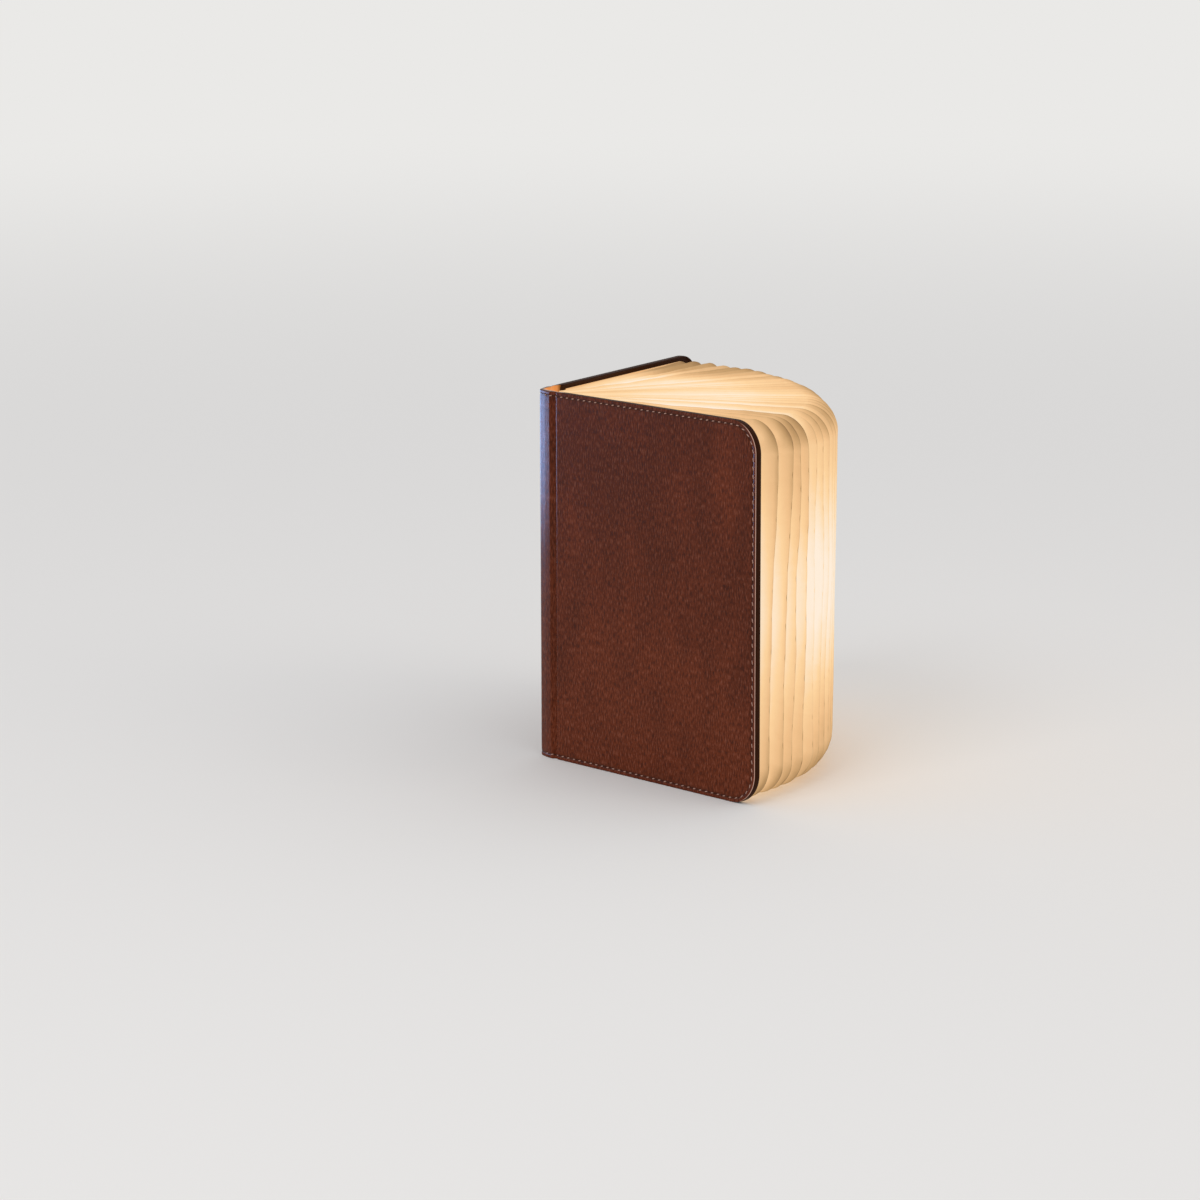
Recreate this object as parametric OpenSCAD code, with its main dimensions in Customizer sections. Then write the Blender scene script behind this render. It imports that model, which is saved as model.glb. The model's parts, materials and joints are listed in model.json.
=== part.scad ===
// Folding book lamp: a case-bound cover that opens into a fan of pleated paper round a light bar.
// +X runs from the spine to the fore edge, +Y across the open covers, +Z up. The lamp stands on z = 0,
// and the origin is under the middle of its box with the covers at opening_rest.

/* [Book] */
// Height of the covers and of the spine
book_h = 215; // [205:1:225]
// Reach of a cover from its hinge line to the fore edge
cover_reach = 161; // [150:1:165]
// Thickness of the closed book over both covers
book_t = 25; // [25:0.5:27]
// Radius of the two fore-edge corners of each cover
cover_corner_r = 18; // [10:1:24]
// Angle between the covers as the lamp stands
opening_rest = 105; // [70:5:140]

/* [Cover build-up] */
// Leather on the outer face of a board
leather_t = 0.8; // [0.6:0.1:1.0]
// Board inside a cover
board_t = 1.9; // [1.5:0.1:1.9]
// Lining inside a cover, and the leather turned in round it
lining_t = 0.5; // [0.3:0.1:0.5]
// Width of the leather turned in round a board
turn_in_w = 12; // [8:1:16]
// Radius of the leather along a cover's edges
edge_r = 0.9; // [0.3:0.1:1.2]
// Width of the flexible groove between the spine and a board
groove_w = 5.5; // [5:0.5:7]
// Depth of that groove below a cover's face
groove_depth = 1; // [0.8:0.1:1.2]
// Diameter of the magnets that hold the covers back to back
magnet_d = 12; // [8:1:14]
// Thickness of those magnets
magnet_t = 1.5; // [1:0.1:1.5]

/* [Spine] */
// How far the rounded spine stands out behind the hinge lines
spine_bulge = 8; // [7:0.5:9]
// Leather round the spine
spine_leather_t = 0.9; // [0.7:0.1:1.0]
// Rounded board inside the spine
spine_board_t = 1.3; // [1:0.1:1.5]
// Lining inside the spine's hollow
spine_lining_t = 0.3; // [0.2:0.1:0.4]
// Leather turned in over the ends of the spine's board
spine_turn_in = 9; // [5:1:10]

/* [Paper] */
// Pleats between the middle leaf and a cover
pleats_a_side = 14; // [14:1:14]
// How much wider the pleat beside a cover opens than the others, in pleats
end_pleat_extra = 0.3; // [0:0.1:0.6]
// Thickness of a bonded outer seam, two sheets of paper
leaf_t = 0.32; // [0.26:0.02:0.34]
// Width of that seam
seam_w = 4; // [3:0.5:6]
// Reach of the leaves from the hinge lines
leaf_reach = 159.5; // [145:0.5:160]
// Radius of the leaves' fore-edge corners
leaf_corner_r = 18; // [16:1:24]
// How far the leaves stop under the top of the covers
leaf_top_gap = 3; // [2:0.5:5]
// How far the leaves stop above the foot of the covers
leaf_foot_gap = 1.2; // [1:0.1:3]
// Depth of a pleat from its outer seam to its valley
pleat_depth = 26; // [20:1:28]

/* [Light] */
// Width of the light bar
bar_w = 16; // [14:0.5:16]
// Height of the light bar between its end caps
bar_h = 186; // [160:2:190]
// Number of lamps on the light bar
lamp_count = 18; // [10:1:20]

/* [Hidden] */
$fn = 64;

FRONT = -1;                                  // the cover on the -Y side
BACK = 1;                                    // the cover on the +Y side
eps = 0.01;
half_open = opening_rest / 2;
cover_t = leather_t + board_t + lining_t;
joint_t = leather_t;                         // the bare leather in the groove
face_out = groove_depth + joint_t / 2;       // a cover's outer face, outwards from its hinge line
face_in = cover_t - face_out;                // its inner face, inwards from the hinge line
hinge_y = book_t / 2 - face_out;             // the hinge lines stand at x = 0, y = -hinge_y and hinge_y
bead_r = 0.45;                               // the rolled leather on a hinge line
edge_steps = 3;
run_gap = 0.3;                               // room between parts that move past each other

spine_edge_y = hinge_y - 0.9;                // where the round of the spine ends, at x = 0
spine_r = (spine_edge_y * spine_edge_y + spine_bulge * spine_bulge) / (2 * spine_bulge);
spine_x = spine_r - spine_bulge;             // centre of that round
spine_board_r = spine_r - spine_leather_t;
spine_lining_r = spine_board_r - spine_board_t;
hollow_r = spine_lining_r - spine_lining_t;
board_gap = 1;                               // from the ends of the spine to its board

leaf_start = 3.5;                            // the leaves' arms start this far from the hinge lines
leaf_top = book_h - leaf_top_gap;
leaf_foot = leaf_foot_gap;
sheet_t = 0.16;                              // one sheet of paper
wall_start = 12;                             // the free paper of a pleat starts this far out
wall_drop = 0.6;                             // and this far below the outer seam
wall_gap = 0.15;                             // between a seam and the paper beside it
wall_in = 1.2;                               // the paper's thickness, measured along the pleat's depth
valley_corner_r = 6;
corner_steps = 5;
arm_steps = 4;

bar_z = (book_h - bar_h) / 2;                // foot of the light bar
bar_back_x = 0.4;                            // rear face of its channel
bar_front_x = 8;                             // front edge of its channel
channel_t = 1;
cap_t = 4;
led_board_t = 0.8;
led_board_w = bar_w - 2 * channel_t - 0.8;
led_x = bar_back_x + channel_t + led_board_t;
lamp_size = [0.8, 2.8, 3.5];
cell_t = 3.6;
cell_w = 10;
cell_h = 100;
cell_z = bar_z + 64;
pcb_t = 1;
pcb_h = 46;
pcb_x = -1.4;
screw_r = 0.8;
boss_r = 1.5;
socket_w = 7.4;
socket_t = 2.6;

// Leaf j's share of its cover's turn: leaf 0 is the middle one, leaf pleats_a_side the cover.
function leaf_share(j) = j == pleats_a_side ? 1 : j / (pleats_a_side + end_pleat_extra);
// Its turn at rest.
function leaf_turn(j) = half_open * leaf_share(j);
// How far its plane stands inwards from the hinge line.
function leaf_in(j) = hinge_y - (hinge_y - face_in) * leaf_share(j);
// How far its outer edge reaches along X.
function leaf_x(j) = (leaf_in(j) + leaf_t / 2) * sin(leaf_turn(j)) + leaf_reach * cos(leaf_turn(j));

// From the hinge lines to the middle of the box.
origin_x = (max([for (j = [0:pleats_a_side - 1]) leaf_x(j)]) - spine_bulge) / 2;

// Stands a piece in the part's own frame.
module placed() { translate([-origin_x, 0, 0]) children(); }

// Turns a piece drawn flat, with X out from the hinge line, Y up and Z inwards, to where it stands
// on one side of the fan. turn is its angle from the fold's middle plane.
module on_hinge(side, turn) {
    placed() mirror([0, side == FRONT ? 1 : 0, 0]) translate([0, hinge_y, 0])
        rotate([0, 0, turn]) rotate([90, 0, 0]) children();
}

// The outline of a sheet with two rounded fore-edge corners.
module sheet_outline(start, reach, foot, top, r) {
    union() {
        translate([start, foot]) square([reach - r - start, top - foot]);
        translate([reach - r - eps, foot + r]) square([r + eps, top - foot - 2 * r]);
        for (z = [foot + r, top - r]) translate([reach - r, z]) circle(r);
    }
}

// The outline of a U: a sheet with everything further in than w taken away.
module u_outline(start, reach, foot, top, r, w, r_in) {
    difference() {
        sheet_outline(start, reach, foot, top, r);
        sheet_outline(start - 1, reach - w, foot + w, top - w, r_in);
    }
}

/* ---- covers ---- */

module cover_outline(inset) {
    sheet_outline(groove_w + inset, cover_reach - inset, inset, book_h - inset, cover_corner_r - inset);
}

// A layer of a cover between two depths, both measured inwards from the outer face.
module cover_layer(from, to, inset) {
    translate([0, 0, from - face_out]) linear_extrude(height = to - from) cover_outline(inset);
}

// The groove's cross-section: X out from the hinge line, Y inwards. Bare leather from -joint_t / 2 to
// inner, which thickens to the board's edge.
module groove_section(inner) {
    start = bead_r + run_gap;
    end = groove_w + leather_t;
    t = joint_t / 2;
    board_in = face_in - lining_t;
    polygon([[start, -t], [groove_w - 1.6, -t], [groove_w - 0.9, -t - 0.35 * groove_depth],
             [groove_w - 0.3, -t - 0.85 * groove_depth], [groove_w + 0.5, -face_out], [end, -face_out],
             [end, board_in], [groove_w, board_in], [groove_w - 0.9, max(inner, t + 0.5)],
             [groove_w - 1.6, inner], [start, inner]]);
}

// The leather over the groove, doubled where it is turned in at the head and the foot.
module groove_strip() {
    translate([0, book_h, 0]) rotate([90, 0, 0]) linear_extrude(height = book_h) groove_section(joint_t / 2);
    for (top = [turn_in_w, book_h]) translate([0, top, 0]) rotate([90, 0, 0])
        linear_extrude(height = turn_in_w) groove_section(joint_t / 2 + lining_t);
}

// A cover's leather: a tray round the board with its rim turned in, and the groove strip beside it.
module cover_leather(side) {
    color("saddlebrown") on_hinge(side, half_open) {
        difference() {
            hull() for (i = [0:edge_steps]) let (a = 90 * i / edge_steps, in = edge_r * (1 - cos(a)))
                cover_layer(edge_r * (1 - sin(a)), cover_t - edge_r * (1 - sin(a)), in);
            cover_layer(leather_t, cover_t - lining_t, leather_t);
            cover_layer(cover_t - lining_t - eps, cover_t + 1, turn_in_w);
            translate([0, -1, -face_out - 1]) cube([groove_w + 0.7, book_h + 2, cover_t + 2]);
        }
        groove_strip();
    }
}

module magnet_places() {
    for (z = [book_h * 0.28, book_h * 0.72]) translate([cover_reach - 14, z, 0]) children();
}

module sensor_magnet_place() { translate([groove_w + 8, bar_z + 30, 0]) children(); }

module cover_board(side) {
    color("tan") on_hinge(side, half_open) difference() {
        cover_layer(leather_t, leather_t + board_t, leather_t);
        magnet_places() translate([0, 0, face_in - lining_t - magnet_t]) cylinder(d = magnet_d, h = 5);
        if (side == FRONT) sensor_magnet_place()
            translate([0, 0, face_in - lining_t - magnet_t]) cylinder(d = 5, h = 5);
    }
}

module cover_lining(side) {
    color("peru") on_hinge(side, half_open)
        translate([0, 0, face_in - lining_t]) linear_extrude(height = lining_t) cover_outline(turn_in_w);
}

module cover_end_sheet(side) {
    color("antiquewhite") on_hinge(side, half_open) translate([0, 0, face_in])
        linear_extrude(height = sheet_t)
            u_outline(wall_start, leaf_reach - 1, leaf_foot, leaf_top, leaf_corner_r, pleat_depth, valley_corner_r);
}

module cover_magnets(side) {
    color("silver") on_hinge(side, half_open) {
        magnet_places() translate([0, 0, face_in - lining_t - magnet_t])
            cylinder(d = magnet_d - 0.2, h = magnet_t);
        if (side == FRONT) sensor_magnet_place()
            translate([0, 0, face_in - lining_t - magnet_t]) cylinder(d = 4.8, h = magnet_t);
    }
}

/* ---- paper ---- */

module leaf(side, j) {
    color("antiquewhite") on_hinge(side, leaf_turn(j)) translate([0, 0, leaf_in(j) - leaf_t / 2])
        linear_extrude(height = leaf_t)
            u_outline(leaf_start, leaf_reach, leaf_foot, leaf_top, leaf_corner_r, seam_w, leaf_corner_r - seam_w);
}

// A point at reach r and height z of leaf j's plane, moved inwards by off.
function leaf_point(side, j, off, r, z) =
    let (a = leaf_turn(j), c = leaf_in(j) + off)
    [c * sin(a) + r * cos(a), side * (hinge_y - c * cos(a) + r * sin(a)), z];

// The U that a pleat follows: out along one arm, round the fore edge and back, inset by d.
function arm_points(z, steps, end) =
    [for (i = steps) [wall_start + (end - wall_start) * i / arm_steps, z]];
function arc_points(cx, cz, r, from) =
    [for (i = [0:corner_steps]) let (t = from + 90 * i / corner_steps) [cx + r * sin(t), cz + r * cos(t)]];
function u_path(d, r) = concat(
    arm_points(leaf_top - d, [0:arm_steps - 1], leaf_reach - d - r),
    arc_points(leaf_reach - d - r, leaf_top - d - r, r, 0),
    arc_points(leaf_reach - d - r, leaf_foot + d + r, r, 90),
    arm_points(leaf_foot + d, [arm_steps - 1:-1:0], leaf_reach - d - r));

// The free paper between leaf j and the next: a thin V, seam to valley to seam, along the U.
module pleat_wall(side, j) {
    last = pleats_a_side - 1;
    a_off = -(leaf_t / 2 + wall_gap);
    b_off = j == last ? sheet_t + wall_gap : leaf_t / 2 + wall_gap;
    lip = [u_path(wall_drop, leaf_corner_r - wall_drop),
           u_path(wall_drop + wall_in, leaf_corner_r - wall_drop - wall_in)];
    valley = [u_path(pleat_depth, valley_corner_r),
              u_path(pleat_depth + wall_in, valley_corner_r - wall_in)];
    n = len(lip[0]);
    points = [for (i = [0:n - 1]) each [
        for (k = [0, 1]) each let (
            a = leaf_point(side, j, a_off, lip[k][i][0], lip[k][i][1]),
            b = leaf_point(side, j + 1, b_off, lip[k][i][0], lip[k][i][1]),
            va = leaf_point(side, j, a_off, valley[k][i][0], valley[k][i][1]),
            vb = leaf_point(side, j + 1, b_off, valley[k][i][0], valley[k][i][1]))
            k == 0 ? [a, (va + vb) / 2, b] : [b, (va + vb) / 2, a]]];
    // Both faces of a wall are split along the same diagonal, from its lip to the next valley point,
    // so the thin twisted wall keeps its thickness.
    quads = [for (i = [0:n - 2], m = [0:5])
             let (p = 6 * i, q = 6 * i + 6, w = (m + 1) % 6, to_valley = w == 1 || w == 4)
             each to_valley ? [[p + m, p + w, q + w], [p + m, q + w, q + m]]
                            : [[p + m, p + w, q + m], [p + w, q + w, q + m]]];
    e = 6 * (n - 1);
    caps = [[1, 0, 5], [1, 5, 4], [2, 1, 4], [2, 4, 3],
            [e, e + 1, e + 5], [e + 1, e + 4, e + 5], [e + 1, e + 2, e + 4], [e + 2, e + 3, e + 4]];
    faces = concat(quads, caps);
    placed() polyhedron(points, side > 0 ? faces : [for (f = faces) [f[2], f[1], f[0]]]);
}

module pleat_walls(side) {
    color("bisque") for (j = [0:pleats_a_side - 1]) pleat_wall(side, j);
}

/* ---- spine ---- */

// A band of the spine's round between two radii, cut off at the hinge lines' plane.
module spine_band(r_out, r_in, foot, top, edge_x) {
    placed() translate([0, 0, foot]) linear_extrude(height = top - foot) difference() {
        translate([spine_x, 0]) circle(r_out);
        translate([spine_x, 0]) circle(r_in);
        translate([edge_x, -50]) square([100, 100]);
    }
}

// The leather goes round the board and is turned in behind it at both ends.
module spine_leather() {
    color("saddlebrown") {
        difference() {
            spine_band(spine_r, hollow_r, 0, book_h, 0);
            spine_band(spine_board_r, spine_lining_r, board_gap, book_h - board_gap, 1);
            spine_band(spine_lining_r + eps, hollow_r - 1, spine_turn_in, book_h - spine_turn_in, 1);
        }
        placed() for (s = [FRONT, BACK]) {
            translate([0, s * hinge_y, 0]) cylinder(r = bead_r, h = book_h);
            translate([-bead_r, s > 0 ? spine_edge_y - 0.6 : -hinge_y, 0])
                cube([2 * bead_r, hinge_y - spine_edge_y + 0.6, book_h]);
        }
    }
}

module spine_board() {
    color("tan") spine_band(spine_board_r, spine_lining_r, board_gap, book_h - board_gap, -0.5);
}

module spine_lining() {
    color("darkorange")
        spine_band(spine_lining_r, hollow_r, spine_turn_in, book_h - spine_turn_in, -0.5);
}

/* ---- light bar ---- */

module light_bar_channel() {
    w = bar_w / 2;
    t = channel_t;
    half = [[bar_back_x, 0], [bar_back_x, w - 1], [bar_back_x + 1, w], [bar_front_x, w],
            [bar_front_x, w - t - 0.7], [bar_front_x - 0.6, w - t - 0.7], [bar_front_x - 0.6, w - t],
            [led_x + 0.5, w - t], [led_x + 0.5, w - t - 0.6], [led_x, w - t - 0.6], [led_x, w - t],
            [bar_back_x + t, w - t], [bar_back_x + t, 0]];
    other = [for (i = [len(half) - 2:-1:1]) [half[i][0], -half[i][1]]];
    color("silver") placed() translate([0, 0, bar_z]) difference() {
        union() {
            linear_extrude(height = bar_h) polygon(concat(half, other));
            screw_places() cylinder(r = boss_r, h = bar_h);
        }
        translate([0, 0, -1]) screw_places() cylinder(r = screw_r + 0.05, h = bar_h + 2);
    }
}

module led_board() {
    color("white") placed() translate([led_x - led_board_t, -led_board_w / 2, bar_z + 1])
        cube([led_board_t, led_board_w, bar_h - 2]);
}

module led_emitters() {
    pitch = (bar_h - 2) / lamp_count;
    color("gold") placed() for (i = [0:lamp_count - 1])
        translate([led_x, -lamp_size[1] / 2, bar_z + 1 + pitch * (i + 0.5) - lamp_size[2] / 2])
            cube(lamp_size);
}

module light_diffuser() {
    w = bar_w / 2 - channel_t - 0.1;
    back_x = bar_front_x - 1.8;
    t = 0.8;
    color("ivory") placed() translate([0, 0, bar_z + 0.5]) linear_extrude(height = bar_h - 1) difference() {
        union() {
            translate([back_x, -w]) square([1.1, 2 * w]);
            intersection() {
                translate([back_x - 11, 0]) circle(r = 14.2);
                translate([back_x, -w + 0.7]) square([10, 2 * w - 1.4]);
            }
        }
        intersection() {
            translate([back_x - 11, 0]) circle(r = 14.2 - t);
            translate([back_x - 1, -w + 1.4]) square([10, 2 * w - 2.8]);
        }
    }
}

// The round of the hollow, filled as far as the light bar's front edge.
module cap_outline() {
    intersection() {
        union() {
            translate([spine_x, 0]) circle(hollow_r - 0.05);
            translate([spine_x, -bar_w / 2]) square([bar_front_x - spine_x, bar_w]);
        }
        translate([-20, -bar_w / 2]) square([20 + bar_front_x, bar_w]);
    }
}

module screw_places() {
    for (s = [FRONT, BACK]) translate([led_x + 2.3, s * (bar_w / 2 - 2.3), 0]) children();
}

module indicator_place() { translate([pcb_x - 0.6, socket_w / 2 + 1.3, bar_z - cap_t]) children(); }

module end_cap_top() {
    color("dimgray") placed() difference() {
        translate([0, 0, bar_z + bar_h]) linear_extrude(height = cap_t) cap_outline();
        translate([0, 0, bar_z + bar_h - 1]) screw_places() cylinder(r = screw_r + 0.05, h = cap_t + 2);
    }
}

module end_cap_bottom() {
    color("dimgray") placed() difference() {
        translate([0, 0, bar_z - cap_t]) linear_extrude(height = cap_t) cap_outline();
        translate([0, 0, bar_z - cap_t - 1]) screw_places() cylinder(r = screw_r + 0.05, h = cap_t + 2);
        translate([pcb_x - socket_t - 0.1, -socket_w / 2 - 0.1, bar_z - cap_t - 1])
            cube([socket_t + 0.2, socket_w + 0.2, cap_t + 2]);
        indicator_place() cylinder(r = 0.8, h = 3 * cap_t, center = true);
    }
}

module end_cap_screws() {
    color("silver") placed() screw_places() for (end = [0, 1])
        translate([0, 0, end * book_h]) mirror([0, 0, end]) {
            translate([0, 0, bar_z - cap_t - 0.5]) cylinder(r = screw_r, h = cap_t + 6);
            translate([0, 0, bar_z - cap_t - 1]) cylinder(r = 2 * screw_r, h = 1);
        }
}

/* ---- power and control ---- */

module battery_pack() {
    r = 1.4;
    color("royalblue") placed() translate([-cell_t - 0.6, -cell_w / 2, cell_z])
        linear_extrude(height = cell_h) union() {
            translate([r, 0]) square([cell_t - 2 * r, cell_w]);
            translate([0, r]) square([cell_t, cell_w - 2 * r]);
            for (x = [r, cell_t - r], y = [r, cell_w - r]) translate([x, y]) circle(r);
        }
}

module battery_leads() {
    color("firebrick") placed() for (y = [-1.2, 1.2])
        translate([pcb_x - 0.6, y, bar_z + 0.5 + pcb_h + 0.2]) cylinder(r = 0.5, h = cell_z - bar_z - pcb_h - 0.9);
}

module control_board() {
    color("darkgreen") placed() translate([pcb_x, -6, bar_z + 0.5]) cube([pcb_t, 12, pcb_h]);
}

module board_components() {
    color("black") placed() {
        translate([pcb_x - 1.4, -2.5, bar_z + 14]) cube([1.4, 5, 5]);
        translate([pcb_x - 2, -4.5, bar_z + 24]) cube([2, 4, 4]);
        translate([pcb_x - 1, 1.5, bar_z + 24]) cube([1, 1.6, 3.2]);
        translate([pcb_x - 1, 1.5, bar_z + 34]) cube([1, 3, 3]);
    }
}

module hall_sensor() {
    color("black") placed() translate([pcb_x - 1.1, -5.4, bar_z + 30]) cube([1.1, 1.6, 3]);
}

module charging_socket() {
    depth = 5.5;
    foot = bar_z - cap_t + 0.3;
    color("silver") placed() difference() {
        translate([pcb_x - socket_t, -socket_w / 2, foot]) cube([socket_t, socket_w, cap_t + depth]);
        translate([pcb_x - socket_t + 0.35, -socket_w / 2 + 0.35, foot - 1])
            cube([socket_t - 0.7, socket_w - 0.7, depth]);
    }
}

module charge_indicator() {
    color("lightgreen") placed() indicator_place() cylinder(r = 0.75, h = cap_t + 0.4);
}

spine_leather();
spine_board();
spine_lining();
light_bar_channel();
led_board();
led_emitters();
light_diffuser();
end_cap_top();
end_cap_bottom();
end_cap_screws();
battery_pack();
battery_leads();
control_board();
board_components();
hall_sensor();
charging_socket();
charge_indicator();
cover_leather(FRONT);  // front_cover_leather
cover_board(FRONT);  // front_cover_board
cover_lining(FRONT);  // front_lining
cover_end_sheet(FRONT);  // front_end_sheet
cover_magnets(FRONT);  // front_magnets
cover_leather(BACK);  // back_cover_leather
cover_board(BACK);  // back_cover_board
cover_lining(BACK);  // back_lining
cover_end_sheet(BACK);  // back_end_sheet
cover_magnets(BACK);  // back_magnets
pleat_walls(FRONT);  // pleat_walls_front
pleat_walls(BACK);  // pleat_walls_back
leaf(BACK, 0);  // leaf_middle
for (j = [1:13]) {
    leaf(FRONT, j);
    leaf(BACK, j);
}
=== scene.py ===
import json
import math

import bmesh
import bpy
import numpy as np
from mathutils import Matrix, Vector


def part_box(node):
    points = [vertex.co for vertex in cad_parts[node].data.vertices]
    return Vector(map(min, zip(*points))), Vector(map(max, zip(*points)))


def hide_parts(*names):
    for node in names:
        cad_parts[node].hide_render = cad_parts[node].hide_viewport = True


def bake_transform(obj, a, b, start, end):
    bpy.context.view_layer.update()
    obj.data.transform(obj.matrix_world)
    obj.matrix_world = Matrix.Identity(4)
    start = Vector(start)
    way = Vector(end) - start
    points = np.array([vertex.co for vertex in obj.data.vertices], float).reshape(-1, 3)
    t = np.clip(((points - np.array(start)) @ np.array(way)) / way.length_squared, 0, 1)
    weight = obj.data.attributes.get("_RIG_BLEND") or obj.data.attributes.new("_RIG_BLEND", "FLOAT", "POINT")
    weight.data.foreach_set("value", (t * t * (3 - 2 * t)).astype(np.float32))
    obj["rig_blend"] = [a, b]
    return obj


bl_info = {
    "name": "Folding Book Lamp",
    "version": (1, 0, 0),
    "blender": (4, 5, 0),
    "location": "View3D > Sidebar > Book Lamp",
    "description": "Leather case, stitching and lit paper fan round the frame of a folding book lamp",
    "category": "Add Mesh",
}

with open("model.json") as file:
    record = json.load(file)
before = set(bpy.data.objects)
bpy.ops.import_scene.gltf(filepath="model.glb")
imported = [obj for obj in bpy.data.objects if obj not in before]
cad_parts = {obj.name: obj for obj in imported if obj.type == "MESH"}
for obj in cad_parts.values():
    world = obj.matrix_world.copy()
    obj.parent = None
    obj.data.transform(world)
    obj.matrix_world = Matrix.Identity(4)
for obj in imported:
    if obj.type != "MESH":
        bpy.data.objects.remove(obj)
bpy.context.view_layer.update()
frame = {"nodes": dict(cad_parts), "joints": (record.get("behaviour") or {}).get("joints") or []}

FRONT, BACK = -1, 1
MM = 0.001
SIDE_WORD = {FRONT: "front", BACK: "back"}
JOINTS = {j["name"]: j for j in frame["joints"]}
HINGE = JOINTS["back_cover_hinge"]
HINGE_X, HINGE_Y = HINGE["pos_m"][:2]
HALF_OPEN = math.radians(-HINGE["range_deg"][0])    # the stored pose is this far from closed
BOOK_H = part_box("spine_leather")[1].z
LEAF_FOOT, LEAF_TOP = (corner.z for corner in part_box("leaf_middle"))
LEAF_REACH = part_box("leaf_middle")[1].x - HINGE_X
SPINE_BULGE = HINGE_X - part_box("spine_leather")[0].x
# Each ridge's share of its cover's turn, from the middle leaf to the cover. On real paper they stray
# from the even steps of the leaves' joints.
RIDGES = {
    FRONT: np.array([0, 0.073, 0.139, 0.212, 0.28, 0.352, 0.419, 0.489, 0.558, 0.62, 0.688, 0.747, 0.807,
                     0.898, 1]),
    BACK: np.array([0, 0.068, 0.142, 0.211, 0.284, 0.352, 0.431, 0.499, 0.573, 0.642, 0.711, 0.778, 0.86,
                    0.941, 1])}
PLEATS = len(RIDGES[FRONT]) - 1

# The case's section, within a millimetre of the solids: boards in leather, two grooves, a rounded spine.
FACE_OUT = 1.4 * MM            # a cover's outer face, outwards from its hinge line
COVER_T = 3.2 * MM             # leather, board and lining
LINING_T = 0.5 * MM
GROOVE_T = 1.3 * MM            # the leather and its turn-in at the ends of a groove
SPINE_T = 2.9 * MM             # the same round the spine's board
TIP_R = 3.5 * MM               # rounding of the spine's tip
FLANK_MORE = 1.2 * MM          # what the spine's flank is thicker by, so that its board stays covered
# The case's outer face past the tip, by x from the hinge lines and y from the middle: a slightly
# crowned flank, a shoulder, then the groove's floor.
FLANK = np.array([[-5.76, 5.89], [-3.50, 10.05], [-3.28, 10.32], [-2.95, 10.50], [-1.5, 11.0],
                  [-0.26, HINGE_Y / MM + 0.36]]) * MM
# From the groove up to the cover's face, by the way along the cover and the way out from it.
RISE = np.array([[0.2, 0.28], [0.5, 0.42], [0.85, 0.8], [1.05, 1.0], [2.1, 1.4]]) * MM

# The paper fan.
SEAM_W = 2.6 * MM              # two sheets bonded at the ridge
VALLEY = 0.497                 # half a pleat less a hair, so that a valley's two walls stay apart
START_REACH = 3.6 * MM         # where the pleats start, beside the light bar
START_DEPTH = 3.5 * MM         # how deep they are there
NICK_FROM = 0.55               # how high the nicks' waves run before they cut into a ridge
BOW, SWAY = 0.06 / PLEATS, 0.05 / PLEATS    # how far the walls bow and the ridges sway, as shares
HEAD_RISE, HEAD_SINK = 3.6 * MM, 0.9 * MM   # at the head, the outer pages' rise and what all sink by
EASE = 0.4 * MM                # how much further out than its leaf a page lies


# ---- sizes and colours a user would change -------------------------------------------------


def length_setting(name, description, millimetres):
    return bpy.props.FloatProperty(
        name=name, description=description, default=millimetres * MM, unit="LENGTH")


def colour_setting(name, description, default):
    return bpy.props.StringProperty(name=name, description=f"{description}, sRGB hex", default=default)


class CaseSettings(bpy.types.PropertyGroup):
    """Leather case and its stitching"""

    reach: length_setting("Cover reach", "Hinge line to fore edge", 161.7)
    corner: length_setting("Corner radius", "Fore-edge corners of a cover", 18)
    stitch_inset: length_setting("Stitch inset", "Edge to stitch line", 2.45)
    stitch_pitch: length_setting("Stitch pitch", "From stitch to stitch", 4.7)
    leather: colour_setting("Leather", "Main colour of the leather", "#622A14")
    leather_dark: colour_setting("Leather, dark", "Darker patches", "#5A2611")
    leather_red: colour_setting("Leather, red", "Redder patches", "#6B2F17")
    edge: colour_setting("Burnished edge", "Edges and stitch channel", "#2A1409")
    # The pale line along the fore edge's bead: a painted highlight.
    bead_glint: colour_setting("Rubbed edge", "Rim that hands have rubbed", "#C9A190")
    # The thread's colour along the top of a stitch, with a highlight painted into it.
    thread: colour_setting("Thread", "Colour of the thread", "#B48F80")


class PaperSettings(bpy.types.PropertyGroup):
    """Paper fan"""

    depth: length_setting("Pleat depth", "Ridge to valley", 26)
    corner: length_setting("Corner radius", "Fore-edge corners of the leaves", 18)
    sheet: length_setting("Sheet", "Thickness of one sheet", 0.18)
    wander: length_setting("Wander", "How far a ridge strays from its line", 0.25)
    deckle: length_setting("Deckle", "Depth of the nicks along a ridge", 0.16)
    lean: length_setting("Lean", "How much further out the pages reach at the head than at the foot", 2.0)
    lit: colour_setting("Lit paper", "Paper where the light is strongest", "#FFF0DE")
    warm: colour_setting("Warm paper", "Paper in plain light", "#F2C794")
    dim: colour_setting("Dim paper", "Paper far from the light", "#A07D55")


class StageSettings(bpy.types.PropertyGroup):
    """Floor, lamps and camera"""

    floor: colour_setting("Floor", "Colour of the floor", "#EDEBE8")
    backdrop: colour_setting("Backdrop", "Colour beyond the floor", "#EAE9E7")
    lens: bpy.props.FloatProperty(
        name="Lens", description="Focal length of the camera, mm", default=130.3)


# ---- meshes --------------------------------------------------------------------------------


def grid_quads(rows, cols, first=0):
    """Quads of a rows x cols grid of points numbered row by row from first."""
    i = np.arange(rows - 1)[:, None] * cols + np.arange(cols - 1)[None, :] + first
    return np.stack([i, i + 1, i + cols + 1, i + cols], -1).reshape(-1, 4)


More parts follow.
